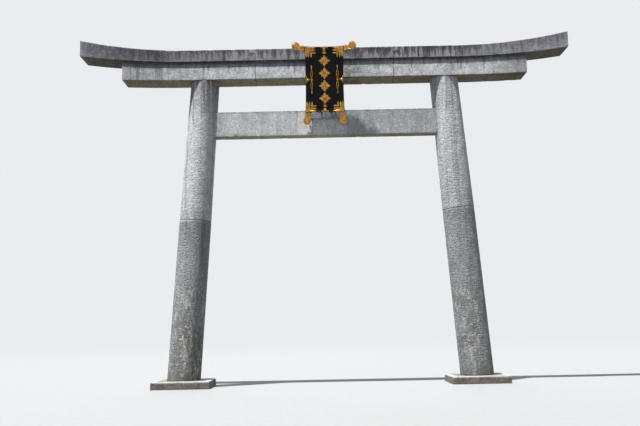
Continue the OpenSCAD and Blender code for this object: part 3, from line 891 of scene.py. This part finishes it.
# The board's own axes: X across, up its slope, and out of its face
BOARD_UP = Vector((0, -sin(BOARD_LEAN), cos(BOARD_LEAN)))
BOARD_OUT = Vector((0, -cos(BOARD_LEAN), -sin(BOARD_LEAN)))
rail_low, rail_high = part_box("board_rail_bottom")
BOARD_WIDTH = rail_high.x - rail_low.x
BOARD_FOOT = Vector((0, rail_high.y, rail_low.z + RAIL_OUTER_DEPTH * sin(BOARD_LEAN)))
BOARD_HEIGHT = (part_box("board_rail_left")[1].z - BOARD_FOOT.z) / cos(BOARD_LEAN)
OPENING_WIDTH = BOARD_WIDTH - 2 * RAIL_WIDTH
OPENING_HEIGHT = BOARD_HEIGHT - 2 * RAIL_WIDTH
PANEL_HEIGHT = OPENING_HEIGHT - 2 * BEAD_WIDTH


def shares(count):
    """Even steps from 0 to 1."""
    return [step / count for step in range(count + 1)]


def on_board(across, up, out):
    return BOARD_FOOT + Vector((across, 0, 0)) + BOARD_UP * up + BOARD_OUT * out


def board_place(point):
    """The board's own coordinates of a point: across, up and out."""
    offset = point - BOARD_FOOT
    return offset.x, offset.dot(BOARD_UP), offset.dot(BOARD_OUT)


def join_rows(bm, rows, closed=True):
    """Quads between neighbouring rows of points; closed rows join their last point to their first."""
    for row, following in zip(rows, rows[1:]):
        count = len(row)
        for index in range(count if closed else count - 1):
            after = (index + 1) % count
            bm.faces.new((row[index], row[after], following[after], following[index]))


def close_end(bm, row, tip=None):
    """A fan over one end of a tube, from a tip or from the end's middle."""
    middle = bm.verts.new(tip or sum((vert.co for vert in row), Vector()) / len(row))
    for index, vert in enumerate(row):
        bm.faces.new((vert, row[(index + 1) % len(row)], middle))


def tube(bm, rows):
    """A tube through rows of points, closed at both ends."""
    join_rows(bm, rows)
    close_end(bm, rows[0])
    close_end(bm, rows[-1])


def face_outward(bm):
    bmesh.ops.recalc_face_normals(bm, faces=bm.faces)


def wear_edges(piece):
    """Marks the points where the surface turns sharply, for worn paint."""
    bm = bmesh.new()
    bm.from_mesh(piece.data)
    write_edge(piece.data, {vert.index for edge in sharp_edges(bm) for vert in edge.verts})
    bm.free()


def rail_length(side):
    return BOARD_WIDTH if side in ("bottom", "top") else BOARD_HEIGHT


def rail_place(side, x, y):
    """Turns a rail's own coordinates, along it and inward, into the board's."""
    half = BOARD_WIDTH / 2
    return {
        "bottom": (x - half, y),
        "top": (x - half, BOARD_HEIGHT - y),
        "left": (y - half, BOARD_HEIGHT - x),
        "right": (half - y, BOARD_HEIGHT - x),
    }[side]


def rail_normal(side):
    """Direction that the flared face of a rail looks in."""
    inward = {
        "bottom": BOARD_UP,
        "top": -BOARD_UP,
        "left": Vector((1, 0, 0)),
        "right": Vector((-1, 0, 0)),
    }[side]
    return BOARD_OUT * cos(RAIL_FLARE) + inward * sin(RAIL_FLARE)


def wood_surface(inward):
    """Height of the rail or the moulding at a distance from the frame's outer edge."""
    if inward > RAIL_WIDTH + WELD:
        return BEAD_DEPTH
    return RAIL_OUTER_DEPTH - inward * tan(RAIL_FLARE)


def rail(side):
    """A mitred, moulded rail whose outer edge bows in at its middle."""
    length = rail_length(side)
    bm = bmesh.new()
    rows = []
    for share in shares(RAIL_STEPS):
        bow = 4 * RAIL_BOW * share * (1 - share)
        row = []
        for inward, height in RAIL_SECTION:
            x = inward + (length - 2 * inward) * share
            y = inward + bow * (1 - inward / RAIL_WIDTH)
            row.append(bm.verts.new(on_board(*rail_place(side, x, y), height)))
        rows.append(row)
    tube(bm, rows)
    face_outward(bm)
    wear_edges(add_piece(f"lacquered_rail_{side}", bm, "black_lacquer", f"board_rail_{side}"))


def bead():
    """Rounded moulding between the rails and the panel, mitred at its corners."""
    rise = BEAD_DEPTH - PANEL_THICKNESS
    section = [(0, 0)]
    for share in shares(BEAD_STEPS):
        angle = pi * share
        inward = BEAD_WIDTH / 2 * (1 - cos(angle))
        section.append((inward, PANEL_THICKNESS + rise * sin(angle) ** BEAD_FULLNESS))
    section.append((BEAD_WIDTH, 0))
    bm = bmesh.new()
    rows = []
    for across, up in ((-1, -1), (1, -1), (1, 1), (-1, 1)):
        row = []
        for inward, height in section:
            x = across * (OPENING_WIDTH / 2 - inward)
            y = BOARD_HEIGHT / 2 + up * (OPENING_HEIGHT / 2 - inward)
            row.append(bm.verts.new(on_board(x, y, height)))
        rows.append(row)
    join_rows(bm, rows + rows[:1])
    face_outward(bm)
    wear_edges(add_piece("lacquered_bead", bm, "black_lacquer", "board_bead"))


def eased_copy(name, node, width):
    """A lacquered node's own shape with its edges eased."""
    bm = clean_copy(node)
    bevel(bm, sharp_edges(bm), width)
    piece = add_piece(name, bm, "black_lacquer", node)
    wear_edges(piece)
    weigh_normals(piece)


def board_frame():
    for side in ("bottom", "top", "left", "right"):
        rail(side)
    bead()
    eased_copy("lacquered_panel", "board_panel", PANEL_BEVEL)
    for node in ("batten_upper", "batten_lower"):
        eased_copy("lacquered_" + node, node, BATTEN_BEVEL)


board_frame()


def revolve(bm, centre, axis, profile, segments=TURNED_SEGMENTS):
    """A turned shape from (radius, height) points along an axis; the last point is its tip."""
    turn = axis.to_track_quat("Z", "Y")
    rows = []
    for radius, height in profile[:-1]:
        row = []
        for index in range(segments):
            angle = 2 * pi * index / segments
            offset = Vector((radius * cos(angle), radius * sin(angle), height))
            row.append(bm.verts.new(centre + turn @ offset))
        rows.append(row)
    join_rows(bm, rows)
    close_end(bm, rows[-1], centre + axis * profile[-1][1])
    close_end(bm, rows[0])


def dome(radius, rise):
    """Profile of a dome whose rim is let in a little."""
    angles = [pi / 2 * share for share in shares(DOME_STEPS)]
    return [(radius, -GILT)] + [(radius * cos(angle), rise * sin(angle)) for angle in angles]


def stepped_boss(size):
    return [(radius * size, height * size) for radius, height in STEPPED_BOSS]


def leaf_relief(bm, place, length, width, rise):
    """A pointed leaf with a raised midrib; place turns along, sideways and height into a point."""
    tops, bases = [], []
    for share in shares(LEAF_STEPS):
        half = 2 * width * share * (1 - share)
        fade = min(1, LEAF_FADE * share * (1 - share))
        top = []
        for sideways in shares(LEAF_STRIPS):
            side = 2 * sideways - 1
            dome_part = LEAF_ROUND * sqrt(max(0, 1 - side * side))
            rib_part = LEAF_MIDRIB * max(0, 1 - MIDRIB_STEEPNESS * abs(side))
            height = rise * fade * (dome_part + rib_part)
            top.append(bm.verts.new(place(length * share, side * half, height)))
        tops.append(top)
        bases.append([bm.verts.new(place(length * share, side * half, -GILT)) for side in (-1, 1)])
    join_rows(bm, tops, closed=False)
    join_rows(bm, bases, closed=False)
    for end in (0, -1):
        join_rows(bm, [[top[end], base[end]] for top, base in zip(tops, bases)], closed=False)


def gilt_copy(node, width):
    """A gilt node with eased edges, let into the rounded wood that carries it."""
    bm = clean_copy(node)
    for vert in bm.verts:
        across, up, out = board_place(vert.co)
        inward = min(BOARD_WIDTH / 2 - abs(across), up, BOARD_HEIGHT - up)
        if abs(out - wood_surface(inward)) < GILT / 2:
            vert.co -= BOARD_OUT * GILT_ROOT
    bevel(bm, sharp_edges(bm), width)
    return bm


def corner_relief(bm, side, mirrored):
    """Ribbed leaves and nail heads on one arm of a corner fitting."""
    length = rail_length(side)

    def on_gilt(x, y, height):
        along = length - x if mirrored else x
        return on_board(*rail_place(side, along, y), wood_surface(y) + GILT + height)

    def leaf(start, middle, width, rise):
        reach = CORNER_REACH - start
        leaf_relief(bm, lambda x, y, height: on_gilt(start + x, middle + y, height), reach, width, rise)

    pitch = (RAIL_WIDTH - CORNER_MARGIN) / CORNER_LEAVES
    for index in range(CORNER_LEAVES):
        middle = CORNER_MARGIN + (index + 0.5) * pitch
        leaf(max(CORNER_ROOT / 2, middle), middle, RELIEF_FILL * pitch, RAIL_LEAF_RISE)
        nail = on_gilt(CORNER_NAIL[0], CORNER_NAIL[1] + index * pitch, 0)
        revolve(bm, nail, rail_normal(side), dome(*NAIL))
    moulding_room = BEAD_WIDTH - 2 * MOULDING_MARGIN
    leaf(BEAD_INSET, BEAD_INSET, LEAF_FILL * moulding_room, MOULDING_LEAF_RISE)


def on_moulding(across, end):
    """A point on the gilt that covers the moulding's lower or upper arm."""
    height = BEAD_INSET if end == "bottom" else BOARD_HEIGHT - BEAD_INSET
    return on_board(across, height, BEAD_DEPTH + GILT)


def corner_fitting(up, across):
    node = f"corner_fitting_{up}_{across}"
    bm = gilt_copy(node, GILT_BEVEL)
    corner_relief(bm, up, across == "right")
    corner_relief(bm, across, up == "bottom")
    sign = 1 if across == "right" else -1
    revolve(bm, on_moulding(sign * (BOARD_WIDTH / 2 - BEAD_INSET), up), BOARD_OUT, dome(*CORNER_BOSS))
    add_piece(f"gilt_corner_{up}_{across}", bm, "gilt", node)


def middle_fitting(side):
    """The fitting at a rail's middle, with a stepped boss."""
    node = f"rail_fitting_{side}"
    bm = gilt_copy(node, GILT_BEVEL)
    half_width = RAIL_WIDTH / 2
    place = rail_place(side, rail_length(side) / 2, half_width)
    centre = on_board(*place, wood_surface(half_width) + GILT)
    revolve(bm, centre, rail_normal(side), stepped_boss(MIDDLE_BOSS), FINE_SEGMENTS)
    if side in ("bottom", "top"):
        for across, radius in MIDDLE_NAILS:
            revolve(bm, on_moulding(across, side), BOARD_OUT, dome(radius, MIDDLE_NAIL_RISE))
    add_piece(f"gilt_middle_{side}", bm, "gilt", node)


def pierced_fitting(side, sign):
    """Pierced leaves on the moulding, with a boss at the middle and a nail in each plain leaf."""
    node = f"pierced_fitting_{side}"
    bm = gilt_copy(node, PIERCED_BEVEL)
    across = sign * (OPENING_WIDTH - BEAD_WIDTH) / 2
    centre = on_board(across, BOARD_HEIGHT / 2, BEAD_DEPTH + GILT)
    revolve(bm, centre, BOARD_OUT, stepped_boss(PIERCED_BOSS))
    for end in (-1, 1):
        nail = on_board(across, BOARD_HEIGHT / 2 + end * PIERCED_NAIL, BEAD_DEPTH + GILT)
        revolve(bm, nail, BOARD_OUT, dome(*NAIL))
    add_piece(f"gilt_moulding_{side}", bm, "gilt", node)


def flower(bm, middle):
    """Four large ribbed petals on the axes, four small ones between them, and a stepped heart."""
    for quarter in range(4):
        for angle, length, width, rise in PETALS:
            turn = angle + quarter * pi / 2

            def point(along, sideways, height, turn=turn):
                x = along * cos(turn) - sideways * sin(turn)
                y = along * sin(turn) + sideways * cos(turn)
                return on_board(x, middle + y, PANEL_THICKNESS + PETAL_SEAT + height)

            leaf_relief(bm, point, length, width, rise)
    heart = on_board(0, middle, PANEL_THICKNESS + HEART_SEAT)
    revolve(bm, heart, BOARD_OUT, stepped_boss(HEART), FINE_SEGMENTS)


def flowers():
    bm = bmesh.new()
    start = (BOARD_HEIGHT - PANEL_HEIGHT) / 2
    pitch = PANEL_HEIGHT / FLOWER_COUNT
    for index in range(FLOWER_COUNT):
        flower(bm, start + (index + 0.5) * pitch)
    face_outward(bm)
    add_piece("gilt_flowers", bm, "gilt", "panel_flowers")


def sweep(bm, path, side):
    """A tapering rib of rounded section along points of across, up, half width and half depth."""
    rows = []
    for index, (across, up, half_width, half_depth) in enumerate(path):
        before = path[max(index - 1, 0)]
        after = path[min(index + 1, len(path) - 1)]
        along = Vector((after[0] - before[0], after[1] - before[1])).normalized()
        row = []
        for step in range(RIB_SEGMENTS):
            angle = 2 * pi * step / RIB_SEGMENTS
            swing = cos(angle) * half_width
            lift = copysign(abs(sin(angle)) ** RIB_FULLNESS, sin(angle)) * half_depth
            x = across - along.y * swing
            y = up + along.x * swing
            row.append(bm.verts.new(on_board(side * x, y, CURL_MIDDLE + lift)))
        rows.append(row)
    tube(bm, rows)


def straight_rib(start, end, half_width):
    """A short rib that tapers at its end."""
    path = []
    for share in shares(SHORT_RIB_STEPS):
        point = start.lerp(end, share)
        taper = 1 - SHORT_RIB_NARROWING * share ** 3
        half_depth = CURL_DEPTH / 2 * (SHORT_RIB_DEPTH - SHORT_RIB_SINKING * share)
        path.append((point.x, point.y, half_width * taper, half_depth))
    return path


def scroll_rib(r, start, middle, from_angle):
    """A rib that runs in from the frame and winds round the middle of a curled end."""
    outer, inner = SCROLL_OUTER * r, SCROLL_INNER * r
    entry = middle + outer * Vector((cos(from_angle), sin(from_angle)))
    heading = Vector((-sin(from_angle), cos(from_angle)))
    start_pull = start.lerp(entry, NECK_PULLS[0])
    entry_pull = entry - heading * NECK_PULLS[1] * r
    neck = interpolate_bezier(start, start_pull, entry_pull, entry, NECK_STEPS + 1)
    path = [(point.x, point.y, SCROLL_WIDTH * r, CURL_DEPTH / 2) for point in neck[:-1]]
    for share in shares(WIND_STEPS):
        angle = from_angle + 2 * pi * SCROLL_TURNS * share
        reach = outer + (inner - outer) * share
        point = middle + reach * Vector((cos(angle), sin(angle)))
        half_width = (SCROLL_WIDTH - SCROLL_NARROWING * share) * r
        path.append((point.x, point.y, half_width, CURL_DEPTH / 2 * (1 - SCROLL_SINKING * share)))
    return path


def add_eye(bm, middle, side, radius):
    """A round eye on both faces of a curled end."""
    for facing_out in (1, -1):
        out = CURL_MIDDLE + facing_out * CURL_DEPTH * EYE_SEAT
        centre = on_board(side * middle.x, middle.y, out)
        revolve(bm, centre, BOARD_OUT * facing_out, dome(radius, CURL_DEPTH * EYE_RISE))


def curl_body(node):
    """The curled end's own shape, thinner and well rounded, so that its ribs stand proud."""
    bm = clean_copy(node)
    for vert in bm.verts:
        out = board_place(vert.co)[2]
        vert.co += BOARD_OUT * (CURL_MIDDLE - out) * CURL_THINNING
    bevel(bm, sharp_edges(bm), CURL_BEVEL, 3)
    return bm


def curl(end, name, side):
    """A curled end of the frame, with a scroll round its knob, a short rib and eyes."""
    form = CURLS[end]
    r = form["radius"]
    corner = Vector((BOARD_WIDTH / 2, BOARD_HEIGHT if end == "top" else 0))

    def from_corner(place):
        return corner + Vector(place) * r

    node = f"curl_{end}_{name}"
    knob = from_corner(form["knob"])
    rib_start, rib_end = (from_corner(place) for place in form["rib"])
    bm = curl_body(node)
    sweep(bm, scroll_rib(r, from_corner(form["scroll"]), knob, form["angle"]), side)
    sweep(bm, straight_rib(rib_start, rib_end, SHORT_RIB_WIDTH * r), side)
    add_eye(bm, knob, side, KNOB_EYE * r)
    for place in form["eyes"]:
        add_eye(bm, from_corner(place), side, FRAME_EYE * r)
    add_piece("gilt_" + node, bm, "gilt", node)


def gilt_work():
    for up in ("top", "bottom"):
        for across in ("left", "right"):
            corner_fitting(up, across)
    for side in ("top", "bottom", "left", "right"):
        middle_fitting(side)
    for name, side in (("left", -1), ("right", 1)):
        pierced_fitting(name, side)
        curl("top", name, side)
        curl("bottom", name, side)
    flowers()


gilt_work()


def bracket(node):
    """An iron bar and its plate, with nuts near the plate's corners."""
    low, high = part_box(node)
    bm = clean_copy(node)
    bevel(bm, sharp_edges(bm), BRACKET_BEVEL, 1)
    half = (high.x - low.x) / 2
    plate = [point.z for point in node_points(node) if high.y - point.y < CONTACT_REACH]
    plate_z = (min(plate) + max(plate)) / 2
    for across in (-NUT_SHARE, NUT_SHARE):
        for up in (-NUT_SHARE, NUT_SHARE):
            centre = Vector((low.x + half * (1 + across), high.y - NUT_SEAT, plate_z + half * up))
            revolve(bm, centre, Vector((0, -1, 0)), NUT, NUT_SIDES)
    add_piece("iron_" + node, bm, "bracket_iron", node)


for bracket_level in ("upper", "lower"):
    for bracket_side in ("left", "right"):
        bracket(f"bracket_{bracket_level}_{bracket_side}")


def add_camera():
    camera = add_object("camera", bpy.data.cameras.new("camera"))
    camera.data.sensor_fit = "HORIZONTAL"
    camera.data.sensor_width = SENSOR_WIDTH
    camera.data.lens = FOCAL_PIXELS * SENSOR_WIDTH / IMAGE_WIDTH
    camera.data.clip_end = 2 * FLOOR_RADIUS
    yaw = Matrix.Rotation(CAMERA_YAW, 4, "Z")
    pitch = Matrix.Rotation(pi / 2 + CAMERA_PITCH, 4, "X")
    roll = Matrix.Rotation(CAMERA_ROLL, 4, "Z")
    camera.matrix_world = Matrix.Translation(CAMERA_PLACE) @ yaw @ pitch @ roll
    bpy.context.scene.camera = camera


def seen_directly(tree):
    """1 where the camera, a reflection or a refraction sees the surface, 0 for bounced light."""
    kinds = ("Camera", "Glossy", "Transmission")
    direct, reflected, through = (add_node(tree, "LightPath", {}, f"Is {kind} Ray") for kind in kinds)
    return direct.calc("MAXIMUM", reflected).calc("MAXIMUM", through)


def paint_floor(shader, place):
    """A pale floor that turns into the backdrop's colour far from the gate."""
    tree = place.tree
    seen = seen_directly(tree)
    grain = spread(cloud(place, 6), 0.3, 0.7, 0.97, 1.03)
    feed(shader["Base Color"], shaded(blend(seen, FLOOR_BOUNCE, FLOOR_COLOUR), grain))
    far = spread(add_node(tree, "VectorMath", {0: place}, "Value", operation="LENGTH"), *FLOOR_FADE)
    pale = Value(tree.nodes["Principled BSDF"].outputs["BSDF"])
    glow = add_node(tree, "Emission", {"Color": BACKDROP})
    mixed = add_node(tree, "MixShader", {"Fac": far * seen, 1: pale, 2: glow})
    feed(tree.nodes["Material Output"].inputs["Surface"], mixed)


def add_floor():
    bm = bmesh.new()
    bmesh.ops.create_circle(bm, cap_ends=True, radius=FLOOR_RADIUS, segments=FLOOR_SEGMENTS)
    mesh = bpy.data.meshes.new("floor")
    bm.to_mesh(mesh)
    bm.free()
    mesh.materials.append(new_material("pale_floor", paint_floor, 0.9, 0.1))
    floor = add_object("floor", mesh)


def add_sun(name, travel, strength, softness):
    sun = add_object(name, bpy.data.lights.new(name, "SUN"))
    sun.data.energy = strength
    sun.data.angle = softness
    sun.rotation_mode = "QUATERNION"
    sun.rotation_quaternion = travel.to_track_quat("-Z", "Y")


def add_light():
    add_sun("sun", SUN_TRAVEL, SUN_STRENGTH, SUN_SOFTNESS)
    add_sun("fill", FILL_TRAVEL, FILL_STRENGTH, FILL_SOFTNESS)
    world = bpy.data.worlds.new("sky")
    bpy.context.scene.world = world
    world.use_nodes = True
    background = world.node_tree.nodes["Background"].inputs
    seen = seen_directly(world.node_tree)
    feed(background["Color"], blend(seen, SKY_COLOUR, BACKDROP))
    feed(background["Strength"], spread(seen, 0, 1, SKY_STRENGTH, 1))


add_camera()
add_floor()
add_light()
bpy.context.scene.view_settings.view_transform = "Standard"
